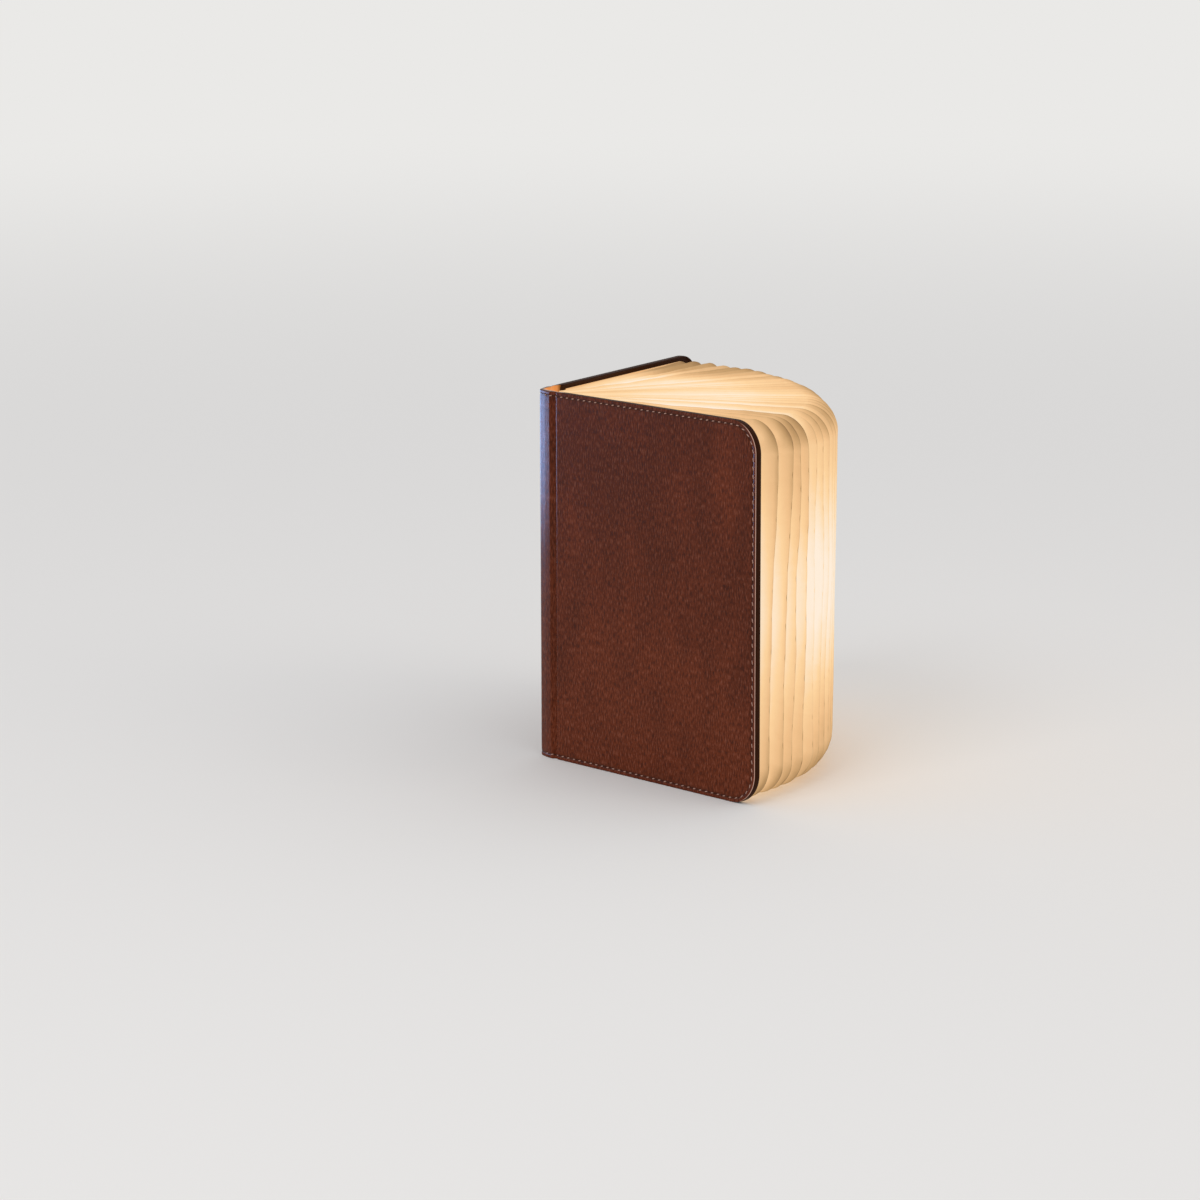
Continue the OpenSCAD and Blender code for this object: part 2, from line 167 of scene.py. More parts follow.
def new_piece(name, points, faces, material, uv=None, smooth=True):
    """A mesh object at the origin. uv holds a pair for each point, and each face corner takes its
    point's pair."""
    mesh = bpy.data.meshes.new(name)
    mesh.from_pydata(np.asarray(points, float).tolist(), [], [list(map(int, f)) for f in faces])
    if uv is not None:
        corners = np.empty(len(mesh.loops), np.int32)
        mesh.loops.foreach_get("vertex_index", corners)
        layer = mesh.uv_layers.new(name="surface")
        layer.data.foreach_set("uv", np.asarray(uv, np.float32)[corners].ravel())
    mesh.polygons.foreach_set("use_smooth", np.full(len(mesh.polygons), smooth))
    mesh.materials.append(material)
    piece = bpy.data.objects.new(name, mesh)
    bpy.context.scene.collection.objects.link(piece)
    return piece


def set_values(piece, name, values):
    """Stores one number for each point of a piece, under a name that materials and joints read."""
    attribute = piece.data.attributes.get(name) or piece.data.attributes.new(name, "FLOAT", "POINT")
    attribute.data.foreach_set("value", np.asarray(values, np.float32).ravel())


def get_values(piece, name):
    """The numbers that set_values stored."""
    values = np.empty(len(piece.data.vertices), np.float32)
    piece.data.attributes[name].data.foreach_get("value", values)
    return values


def weld(piece, distance=2e-6):
    """Merges points that lie together and turns every face outwards."""
    solid = bmesh.new()
    solid.from_mesh(piece.data)
    bmesh.ops.remove_doubles(solid, verts=solid.verts, dist=distance)
    bmesh.ops.recalc_face_normals(solid, faces=solid.faces)
    solid.to_mesh(piece.data)
    solid.free()


def follow_cover(piece, side):
    """Lets each point follow its own turn_share of a cover's turn, from 0 on the spine to 1 on the
    cover."""
    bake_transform(piece, "spine", f"{SIDE_WORD[side]}_cover",
             start=(HINGE_X, side * HINGE_Y, 0), end=(HINGE_X + 0.01, side * (HINGE_Y + 0.01), 0))
    set_values(piece, "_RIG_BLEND", get_values(piece, "turn_share"))


def smooth_step(x, low, high):
    """From 0 at low to 1 at high by t * t * (3 - 2 * t). With the larger one first it falls instead."""
    t = np.clip((x - low) / (high - low), 0, 1)
    return t * t * (3 - 2 * t)


def bell(x, centre, width):
    """1 at the centre, falling off as exp(-(away / width)**2)."""
    return np.exp(-(((x - centre) / width) ** 2))


def wave(x, seed, waves):
    """A gentle wander: sines of the given wavelengths, each half as high as the last, with phases
    drawn from the seed."""
    rng = np.random.default_rng(seed)
    total = 0
    for k, length in enumerate(waves):
        total = total + 0.5**k * np.sin(2 * np.pi * (x / length + rng.random()))
    return total


def u_path(straight, angles, end, radius, foot, top, rows):
    """The U of a cover's or a page's edge: along the top by the steps straight, round the corner by
    angles, down the fore edge in rows steps, and back along the foot. Returns each point's way out,
    its height, and the way inwards from it, which is -(sin, cos) of the angle turned so far."""
    turn = np.concatenate([0 * straight, angles])
    out = np.concatenate([straight, end - radius * (1 - np.sin(angles))])
    up = top - radius * (1 - np.cos(turn))
    side = np.linspace(top - radius, foot + radius, rows)[1:-1]
    turn = np.concatenate([turn, 0 * side + np.pi / 2, np.pi - turn[::-1]])
    return (np.concatenate([out, 0 * side + end, out[::-1]]),
            np.concatenate([up, side, top + foot - up[::-1]]), -np.sin(turn), -np.cos(turn))


# ---- materials -----------------------------------------------------------------------------


def linear(text):
    """An sRGB hex colour as linear red, green, blue and a full alpha."""
    parts = [int(text.lstrip("#")[i:i + 2], 16) / 255 for i in (0, 2, 4)]
    return (*[c / 12.92 if c <= 0.04045 else ((c + 0.055) / 1.055) ** 2.4 for c in parts], 1.0)


def add_node(tree, kind, inputs=None, **settings):
    """Adds one node, with its settings, and sets or links its inputs."""
    node = tree.nodes.new(kind)
    for name, value in settings.items():
        setattr(node, name, value)
    for key, value in (inputs or {}).items():
        if isinstance(value, bpy.types.NodeSocket):
            tree.links.new(value, node.inputs[key])
        else:
            node.inputs[key].default_value = value
    return node


def new_material(name):
    """An empty node material, and its tree."""
    material = bpy.data.materials.new(name)
    material.use_nodes = True
    material.node_tree.nodes.clear()
    return material, material.node_tree


def close_material(tree, **inputs):
    """Ends a tree in a Principled shader with these inputs, underscores for spaces."""
    named = {key.replace("_", " "): value for key, value in inputs.items()}
    shader = add_node(tree, "ShaderNodeBsdfPrincipled", named)
    add_node(tree, "ShaderNodeOutputMaterial", {"Surface": shader.outputs[0]})


def surface_mm(tree, scale, source="UV"):
    """The piece's own coordinates in millimetres, times a scale along each way."""
    place = add_node(tree, "ShaderNodeTexCoord")
    return add_node(tree, "ShaderNodeMapping", {
        "Vector": place.outputs[source], "Scale": [1000 * s for s in scale]}).outputs[0]


def ramp(tree, value, stops):
    """A colour ramp over (place, colour) stops."""
    node = add_node(tree, "ShaderNodeValToRGB", {"Fac": value})
    bar = node.color_ramp
    while len(bar.elements) < len(stops):
        bar.elements.new(0.5)
    for element, (place, colour) in zip(bar.elements, stops):
        element.position, element.color = place, colour
    return node.outputs[0]


def grey(level):
    return (level, level, level, 1)


def stored(tree, name):
    """The number that set_values stored."""
    return add_node(tree, "ShaderNodeAttribute", attribute_name=name).outputs["Fac"]


def noise(tree, scale, detail, source="UV", **inputs):
    """Noise over the piece's own coordinates: scale is in waves a millimetre along each way."""
    return add_node(tree, "ShaderNodeTexNoise", {
        "Vector": surface_mm(tree, scale, source), "Scale": 1.0, "Detail": detail, **inputs}).outputs[0]


def maths(tree, operation, *values, **settings):
    """One step of arithmetic on sockets and numbers."""
    return add_node(tree, "ShaderNodeMath", dict(enumerate(values)), operation=operation,
                    **settings).outputs[0]


def mix(tree, factor, first, second, blend="MIX"):
    """Two colours mixed; 6 and 7 are the node's colour inputs."""
    return add_node(tree, "ShaderNodeMix", {0: factor, 6: first, 7: second}, data_type="RGBA",
                    blend_type=blend).outputs[2]


def bump(tree, height, strength, distance):
    """A normal that height tilts, over a real distance."""
    return add_node(tree, "ShaderNodeBump", {
        "Height": height, "Strength": strength, "Distance": distance}).outputs[0]


def bonded_leather(case):
    """Bonded leather with an embossed polyurethane face: a fine pebble drawn out up and down, darker in
    its hollows, its own tone with painted shade, and paler on its crests, a painted highlight; faint darker
    and redder patches, a stitch channel pressed dark, a painted highlight along the fore edge's bead, and a
    thin gloss. The turned-in leather in the hollow of the spine glows in the lamp's light."""
    material, tree = new_material("bonded_leather")
    # The pebble is 0.8 mm wide and 3.6 mm tall, a little coarser than the real one so that it shows.
    pebbles = noise(tree, (1 / 0.8, 1 / 3.6, 1), 2.5, Roughness=0.65)
    patches = noise(tree, (1 / 18, 1 / 40, 1), 3.0, Roughness=0.55)
    broad = noise(tree, (1 / 70, 1 / 110, 1), 1.0)
    blotches = maths(tree, "MULTIPLY_ADD", broad, 0.7, patches)
    # The foot of the case is a little redder than its head.
    up = add_node(tree, "ShaderNodeSeparateXYZ", {0: surface_mm(tree, (1, 1 / 700, 1))}).outputs[1]
    colour = ramp(tree, maths(tree, "SUBTRACT", blotches, up), [
        (0.50, linear(case.leather_dark)), (0.69, linear(case.leather)),
        (0.88, linear(case.leather_red))])
    # Low parts of the pebble are darker: the grain's own tone, with painted shade in its hollows.
    shade = ramp(tree, pebbles, [(0.33, grey(0.36)), (0.5, grey(0.87)), (0.66, grey(1.20))])
    grained = mix(tree, 1.0, colour, shade, "MULTIPLY")
    # The pebbles' crests are paler: a painted highlight of the gloss on the grain.
    pebble_glints = ramp(tree, pebbles, [(0.54, grey(0.0)), (0.72, grey(0.11))])
    highlighted = mix(tree, pebble_glints, grained, linear("#B79A8C"))
    # Above 0 the edge tone is burnished and pressed dark; below 0 it is a painted highlight along the fore
    # edge's bead.
    edge = stored(tree, "edge_tone")
    pressed = mix(tree, maths(tree, "MAXIMUM", edge, 0.0), highlighted, linear(case.edge))
    pale = maths(tree, "MULTIPLY", edge, -1.0, use_clamp=True)
    edged = mix(tree, pale, pressed, linear(case.bead_glint))
    lit = ramp(tree, stored(tree, "lamp_glow"), [
        (0.0, grey(0.0)), (0.5, linear("#9A5C1E")), (1.0, linear("#EC9650"))])
    rough = ramp(tree, pebbles, [(0.35, grey(0.28)), (0.65, grey(0.21))])
    close_material(tree, Base_Color=edged, Roughness=rough, Normal=bump(tree, pebbles, 0.5, 0.14 * MM),
                   IOR=1.45, Specular_IOR_Level=0.10, Emission_Color=lit, Emission_Strength=0.9)
    return material


def burnished_edge():
    """The leather's doubled edge, rubbed down with wax and a hot iron: near black, smooth, with faint
    lengthwise streaks from the iron, and less gloss than the face."""
    material, tree = new_material("burnished_edge")
    streaks = noise(tree, (1 / 0.5, 1 / 6, 1), 2.0)
    colour = ramp(tree, streaks, [(0.3, linear("#260F02")), (0.7, linear("#381804"))])
    close_material(tree, Base_Color=colour, Roughness=0.5, Normal=bump(tree, streaks, 0.3, 0.1 * MM),
                   IOR=1.45, Specular_IOR_Level=0.05)
    return material


def polyester_thread(case):
    """Spun polyester sewing thread, matt: pale along the top of a stitch, its own colour with a painted
    highlight, and dark at its ends, painted shade where it sinks into the needle holes."""
    material, tree = new_material("polyester_thread")
    twist = noise(tree, (1.6, 1.6, 1.6), 2.0, "Object")
    level = maths(tree, "MULTIPLY_ADD", twist, 0.3, stored(tree, "crown"))
    # Painted shade at the ends, where the stitch sinks into its needle hole; a painted highlight along its
    # top.
    colour = ramp(tree, level, [
        (0.15, linear("#2A150D")), (0.55, linear("#6A463A")), (1.0, linear(case.thread))])
    close_material(tree, Base_Color=colour, Roughness=0.8, Normal=bump(tree, twist, 0.3, 0.1 * MM),
                   Specular_IOR_Level=0.05)
    return material


def fibre_paper(paper):
    """Flash-spun fibre paper lit from inside: cream where the light bar is near, warmer and dimmer
    where little light comes through, with the faint swirl of its fibres."""
    material, tree = new_material("fibre_paper")
    # Fibre swirls 5 to 10 mm across, as the sheet shows against the light.
    swirl = noise(tree, (1 / 9, 1 / 6, 1), 5.0, Roughness=0.6, Distortion=1.0)
    cloud = maths(tree, "MULTIPLY_ADD", swirl, 0.08, -0.04)
    colour = ramp(tree, maths(tree, "ADD", cloud, stored(tree, "lamp_glow")), [
        (0.20, linear(paper.dim)), (0.35, linear("#C59F6F")), (0.57, linear(paper.warm)),
        (0.69, linear("#FED9A6")), (0.79, linear("#FEE6C5")), (0.90, linear(paper.lit))])
    # Most of the light comes through the sheet, and little off it.
    base = mix(tree, 1.0, colour, grey(0.28), "MULTIPLY")
    close_material(tree, Base_Color=base, Roughness=0.85, Normal=bump(tree, swirl, 0.2, 0.4 * MM),
                   Emission_Color=colour, Emission_Strength=0.74, Specular_IOR_Level=0.15)
    return material


def plain(name, colour, roughness=0.5, metallic=0.0, grain=(0.4, 0.4, 0.4), tone=0.12,
          depth=0.03 * MM, **more):
    """A simple finish with its own fine mottle: grain is in waves a millimetre along each way, tone is
    how far its colour strays, and depth how deep it dents."""
    material, tree = new_material(name)
    mottle = noise(tree, grain, 4.0, "Object")
    shades = [(place, (*[min(1, c * level) for c in linear(colour)[:3]], 1))
              for place, level in ((0.3, 1 - tone), (0.7, 1 + tone))]
    close_material(tree, Base_Color=ramp(tree, mottle, shades), Roughness=roughness, Metallic=metallic,
                   Normal=bump(tree, mottle, 0.3, depth), **more)
    return material


# ---- leather case --------------------------------------------------------------------------


def case_section(case):
    """The outer face of the case from the middle of the spine to a cover's fore edge, for the back
    half, by x from the hinge lines and y from the middle: an arch with a rounded tip and nearly flat
    flanks, a groove over the hinge line and a straight run, rounded by averaging along its length.
    Returns its length at each step, points and normals."""
    turn = np.radians(np.linspace(180, 154, 20))
    tip = np.stack([TIP_R - SPINE_BULGE + TIP_R * np.cos(turn), TIP_R * np.sin(turn)], 1)
    out = np.array([-math.sin(HALF_OPEN), math.cos(HALF_OPEN)])
    along = np.array([math.cos(HALF_OPEN), math.sin(HALF_OPEN)])
    rise = np.concatenate([RISE, [[case.reach, FACE_OUT]]])
    points = np.concatenate([tip, FLANK, [0, HINGE_Y] + rise[:, :1] * along + rise[:, 1:] * out])
    length = np.concatenate([[0], np.cumsum(np.linalg.norm(np.diff(points, axis=0), axis=1))])
    step = 0.05 * MM
    fine = np.arange(0, length[-1], step)
    points = np.stack([np.interp(fine, length, points[:, k]) for k in (0, 1)], 1)
    spread = 18                                    # steps of the average each way: 0.9 mm
    kernel = np.hanning(2 * spread + 3)[1:-1]
    padded = np.concatenate([points[spread:0:-1] * [1, -1], points,
                             points[-1] + along * step * np.arange(1, spread + 1)[:, None]])
    points = np.stack([np.convolve(padded[:, k], kernel / kernel.sum(), "valid") for k in (0, 1)], 1)
    tangent = np.gradient(points, axis=0)
    tangent /= np.linalg.norm(tangent, axis=1, keepdims=True)
    return fine, points, np.stack([-tangent[:, 1], tangent[:, 0]], 1)


class Case:
    """One half of the case, unrolled: s runs from the middle of the spine to the fore edge, z up,
    and depth goes in from the outer face."""

    def __init__(self, case, side):
        self.side = side
        self.s, self.points, self.normals = case_section(case)
        self.end = self.s[-1]
        self.hinge_s = self.end - case.reach
        self.radius = case.corner
        self.centre = self.end - case.corner

    def place(self, s, z, depth):
        """Point of the real case at s, z and depth."""
        xy = [np.interp(s, self.s, self.points[:, k]) - depth * np.interp(s, self.s, self.normals[:, k])
              for k in (0, 1)]
        return np.stack([xy[0] + HINGE_X, self.side * xy[1], z + 0 * xy[0]], -1)

    def share(self, s):
        """Share of the cover's turn: 0 on the spine, 1 on the cover, turning within the groove."""
        return smooth_step(s, self.hinge_s - 1.2 * MM, self.hinge_s + 2.6 * MM)

    def thickness(self, s):
        """Leather, board and turn-in together: spine, its flank, groove, then cover."""
        past = (s - self.hinge_s) / MM
        spine = SPINE_T + FLANK_MORE * smooth_step(past, -9.5, -6.5)
        spine = spine + (GROOVE_T - spine) * smooth_step(past, -2.6, 0)
        return spine + (COVER_T - GROOVE_T) * smooth_step(past, 0.9, 2.4)

    def turn_in(self, s):
        """Width of the leather turned in: less inside the spine."""
        return 9 * MM + 3 * MM * smooth_step(s, self.hinge_s, self.hinge_s + 6 * MM)

    def columns(self):
        """Steps of s: fine round the spine and groove, wide over the board, then the corner's
        angles. Returns s up to the corner, and the angles."""
        groove_end = self.hinge_s + 8 * MM
        straight = np.concatenate([np.linspace(0, self.hinge_s - 3 * MM, 22, endpoint=False),
                                   np.linspace(self.hinge_s - 3 * MM, groove_end, 34, endpoint=False),
                                   np.linspace(groove_end, self.centre, 60)])
        return straight, np.linspace(0, np.pi / 2, 19)[1:]

    def sheet(self, inset, depth, rows=90):
        """A face of the case as a grid: columns of constant s, which shorten round the corners."""
        straight, angles = self.columns()
        s = np.concatenate([straight, self.centre + (self.radius - inset(self.end)) * np.sin(angles)])
        top = np.concatenate([BOOK_H - inset(straight),
                              BOOK_H - self.radius + (self.radius - inset(self.end)) * np.cos(angles)])
        share = np.linspace(0, 1, rows)[:, None]
        z = (BOOK_H - top) + share * (2 * top - BOOK_H)
        s = np.broadcast_to(s, z.shape)
        return s, z, np.broadcast_to(depth(s), z.shape)

    def path(self, rows=90):
        """The edge from the spine's middle along the top, round the fore edge and back along the
        foot. Returns each point's s, z, and the way inwards from it."""
        return u_path(*self.columns(), self.end, self.radius, 0, BOOK_H, rows)


# The hem's section, from the face over the stitch line to the edge: inset, depth, and edge tone, which is
# 1 where the leather is burnished dark and below 0 where a highlight is painted pale on the bead.
HEM = np.array([
    [7.5, 0.0, 0], [5.2, 0.0, 0], [3.9, 0.02, 0.05], [3.15, 0.12, 0.25], [2.7, 0.24, 0.6],
    [2.45, 0.28, 0.7], [2.2, 0.24, 0.6], [1.8, 0.08, 0.2], [1.35, 0.0, 0.0], [0.8, 0.02, 0.0],
    [0.52, 0.05, 0.0], [0.42, 0.08, -1.0], [0.17, 0.20, -1.0], [0.10, 0.32, 0.3], [0.04, 0.52, 0.8],
    [0.0, 0.95, 1.0], [0.0, 1.35, 1.0]])
# The edge's inner side, where the leather is doubled: inset, height over the inner face, edge tone.
TURN = np.array([[0.0, -0.2, 1.0], [0.12, -0.8, 1.0], [0.4, -1.1, 0.9], [0.85, -1.0, 0.8],
                 [1.2, -0.4, 0.7], [1.45, 0.0, 0.6]])
BURNISH_FROM = 13               # the hem's row where the burnished edge starts


def leather_case(case, side, material, edge_material):
    """Half the case as one closed skin: the outer face, a hem carried along the edge (its section
    holds the stitch line's dip and the rounded edge), the turned-in rim and the hidden inner face."""
    half = Case(case, side)
    s, z, in_s, in_z = half.path()
    thick = half.thickness(s)
    thin = np.minimum(thick / COVER_T, 1)                # the hem is flatter where the case is thinner
    last = half.turn_in(s)
    hidden = lambda at: half.thickness(at) - 0.6 * LINING_T       # the inner face, within the lining
    section = [(a * MM + 0 * s, d * MM * thin, b) for a, d, b in HEM]
    doubled = smooth_step(s, half.hinge_s + 4 * MM, half.hinge_s + 9 * MM)
    section += [(a * MM + 0 * s, thick - (d if d > 0 else d * doubled) * MM * thin, b)
                for a, d, b in TURN]
    section += [(last - 0.2 * MM, thick, 0.4), (last, thick - 0.15 * MM, 0.4), (last, hidden(s), 0.4)]
    inset = np.array([a for a, _, _ in section])
    depth = np.array([d for _, d, _ in section])
    burnish_and_glint = np.repeat([b for _, _, b in section], len(s)).reshape(inset.shape)
    fore = smooth_step(np.abs(in_s), 0.2, 0.8)                    # the bead's painted highlight shows along the fore edge alone
    burnish_and_glint = np.where(burnish_and_glint < 0, burnish_and_glint * fore, burnish_and_glint)
    outer = half.sheet(lambda at: HEM[0, 0] * MM + 0 * at, lambda at: 0 * at)
    inner = half.sheet(half.turn_in, hidden)
    rim = (s + in_s * inset, z + in_z * inset, depth)
    rolled = (s + in_s * (inset - depth), z + in_z * (inset - depth))     # grain runs on over the edge
    inside = np.arange(len(section))[:, None] >= len(HEM)
    lit = np.where(inside, smooth_step(s, half.hinge_s + 9 * MM, half.hinge_s + 1 * MM), 0)
    points, quads, uv, shares, dark, glow, count = [], [], [], [], [], [], 0
    for (at_s, at_z, at_d), (u, v), b, g in (
            (outer, outer[:2], 0 * outer[0], 0 * outer[0]),
            (inner, inner[:2], 0.4 + 0 * inner[0], 0 * inner[0]), (rim, rolled, burnish_and_glint, lit)):
        points.append(half.place(at_s, at_z, at_d).reshape(-1, 3))
        quads.append(grid_quads(*at_s.shape, count))
        uv.append(np.stack([side * u, v], -1).reshape(-1, 2))
        shares.append(half.share(at_s).ravel())
        dark.append(b.ravel())
        glow.append(g.ravel())
        count += at_s.size
    # The cut through the middle of the spine, where the two halves meet, is closed by one face.
    rows, cols = outer[0].shape
    first, rim_at, steps = rows * cols, 2 * rows * cols, len(s)
    end = list(range(0, first, cols))
    end += [rim_at + k * steps for k in range(1, len(section) - 1)]
    end += [first + i * cols for i in range(rows - 1, -1, -1)]
    end += [rim_at + k * steps + steps - 1 for k in range(len(section) - 2, 0, -1)]
    piece = new_piece(f"leather_case_{SIDE_WORD[side]}", np.concatenate(points),
                      [*np.concatenate(quads), end], material, np.concatenate(uv))
    piece.data.materials.append(edge_material)
    edge_rows = np.arange(len(section) - 1)[:, None]
    edge_faces = (edge_rows >= BURNISH_FROM) & (edge_rows < len(HEM) + len(TURN)) & (
        s[:-1] > half.hinge_s + 6 * MM)
    slots = np.zeros(len(piece.data.polygons), np.int32)
    slots[-1 - edge_faces.size:-1] = edge_faces.ravel()
    piece.data.polygons.foreach_set("material_index", slots)
    set_values(piece, "turn_share", np.concatenate(shares))
    set_values(piece, "edge_tone", np.concatenate(dark))
    set_values(piece, "lamp_glow", np.concatenate(glow))
    weld(piece)
    follow_cover(piece, side)
    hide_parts(f"{SIDE_WORD[side]}_cover_leather",
                *(["spine_leather"] if side == FRONT else []))


def stitches(case, side, material):
    """Stitches of one half: rounded rods along the edge's path, laid in the hem's dip at an even pitch,
    each slanted a little across the line and sinking at its ends by (way along)**4."""
    half = Case(case, side)
    s, z, in_s, in_z = half.path(rows=400)
    s, z = s + in_s * case.stitch_inset, z + in_z * case.stitch_inset
    length = np.concatenate([[0], np.cumsum(np.hypot(np.diff(s), np.diff(z)))])
    count = int((length[-1] - case.stitch_pitch) // case.stitch_pitch)
    start = (length[-1] - (count - 1) * case.stitch_pitch) / 2
    at = start + case.stitch_pitch * np.arange(count)
    rng = np.random.default_rng(7)
    long, wide, high = 1.75 * MM, 0.29 * MM, 0.26 * MM    # half of each
    laid, sink = 0.20 * MM, 0.42 * MM           # how deep a stitch lies, and how far its ends sink
    slant = np.radians(rng.normal(13, 2.5, count))[:, None, None]
    ring, around = np.linspace(-np.pi / 2, np.pi / 2, 9), np.linspace(0, 2 * np.pi, 8, endpoint=False)
    ring, around = np.meshgrid(ring, around, indexing="ij")
    u = long * np.sign(np.sin(ring)) * np.abs(np.sin(ring)) ** 0.8 * (1 + 0 * around)
    v = wide * np.cos(ring) ** 0.6 * np.cos(around)
    w = high * np.cos(ring) ** 0.6 * np.sin(around) - sink * (u / long) ** 4
    part = np.abs(u) / long
    u, v = u * np.cos(slant) - v * np.sin(slant), u * np.sin(slant) + v * np.cos(slant)
    here_s, here_z = np.interp(at, length, s), np.interp(at, length, z)
    ahead = 0.4 * MM
    run_s = np.interp(at + ahead, length, s) - np.interp(at - ahead, length, s)
    run_z = np.interp(at + ahead, length, z) - np.interp(at - ahead, length, z)
    norm = np.hypot(run_s, run_z)
    run_s, run_z = (run_s / norm)[:, None, None], (run_z / norm)[:, None, None]
    fore = np.abs(run_z)                        # the fore edge's stitches show more of their length
    # Along a stitch: a painted highlight in the middle, painted shade towards its needle holes.
    crown = 1 - smooth_step(part, 0.30 + 0.15 * fore, 0.68 + 0.20 * fore)
    point_s = here_s[:, None, None] + u * run_s - v * run_z
    point_z = here_z[:, None, None] + u * run_z + v * run_s
    thin = np.minimum(half.thickness(here_s) / COVER_T, 1)[:, None, None]
    points = half.place(point_s, point_z, thin * laid - w)
    shape = points.shape
    one = grid_quads(shape[1], shape[2])
    row = np.arange(shape[1] - 1) * shape[2]              # the last quad of each ring closes it
    seam = np.stack([row + shape[2] - 1, row, row + shape[2], row + 2 * shape[2] - 1], -1)
    one = np.concatenate([one, seam])
    faces = (one[None] + (np.arange(count) * shape[1] * shape[2])[:, None, None]).reshape(-1, 4)
    piece = new_piece(f"stitches_{SIDE_WORD[side]}", points.reshape(-1, 3), faces, material)
    set_values(piece, "turn_share", np.broadcast_to(half.share(here_s)[:, None, None], shape[:3]))
    set_values(piece, "crown", crown)
    weld(piece, 1e-6)
    follow_cover(piece, side)


# ---- paper fan -----------------------------------------------------------------------------


def leaf_plane(share, reach, z, side):
    """A point of the fan: share is its plane's part of the cover's turn, reach its distance out from
    the hinge line. The plane stands inwards from the hinge line, more so near the middle."""
    turn = HALF_OPEN * share
    in_face = COVER_T - FACE_OUT + 0.3 * MM
    inwards = HINGE_Y + (in_face - HINGE_Y) * share
    x = inwards * np.sin(turn) + reach * np.cos(turn)
    y = HINGE_Y - inwards * np.cos(turn) + reach * np.sin(turn)
    return np.stack([HINGE_X + x, side * y, z + 0 * x], -1)


def fan_path(paper, arm=40, corner=13, fore=164):
    """The U that every pleat follows, from the spine along the top, round the fore edge and back: for
    each step, the reach and height of its ridge, the way inwards, and its depth there. A pleat is
    shallow beside the light bar and reaches its full depth 46 mm out."""
    straight = START_REACH + (LEAF_REACH - paper.corner - START_REACH) * np.linspace(0, 1, arm) ** 1.3
    angles = np.linspace(0, np.pi / 2, corner + 1)[1:]
    reach, z, way_r, way_z = u_path(
        straight, angles, LEAF_REACH, paper.corner, LEAF_FOOT, LEAF_TOP, fore)
    depth = START_DEPTH + (paper.depth - START_DEPTH) * smooth_step(reach, 8 * MM, 46 * MM)
    return reach, z, way_r, way_z, depth * (1 + 0.10 * np.abs(2 * way_r * way_z))


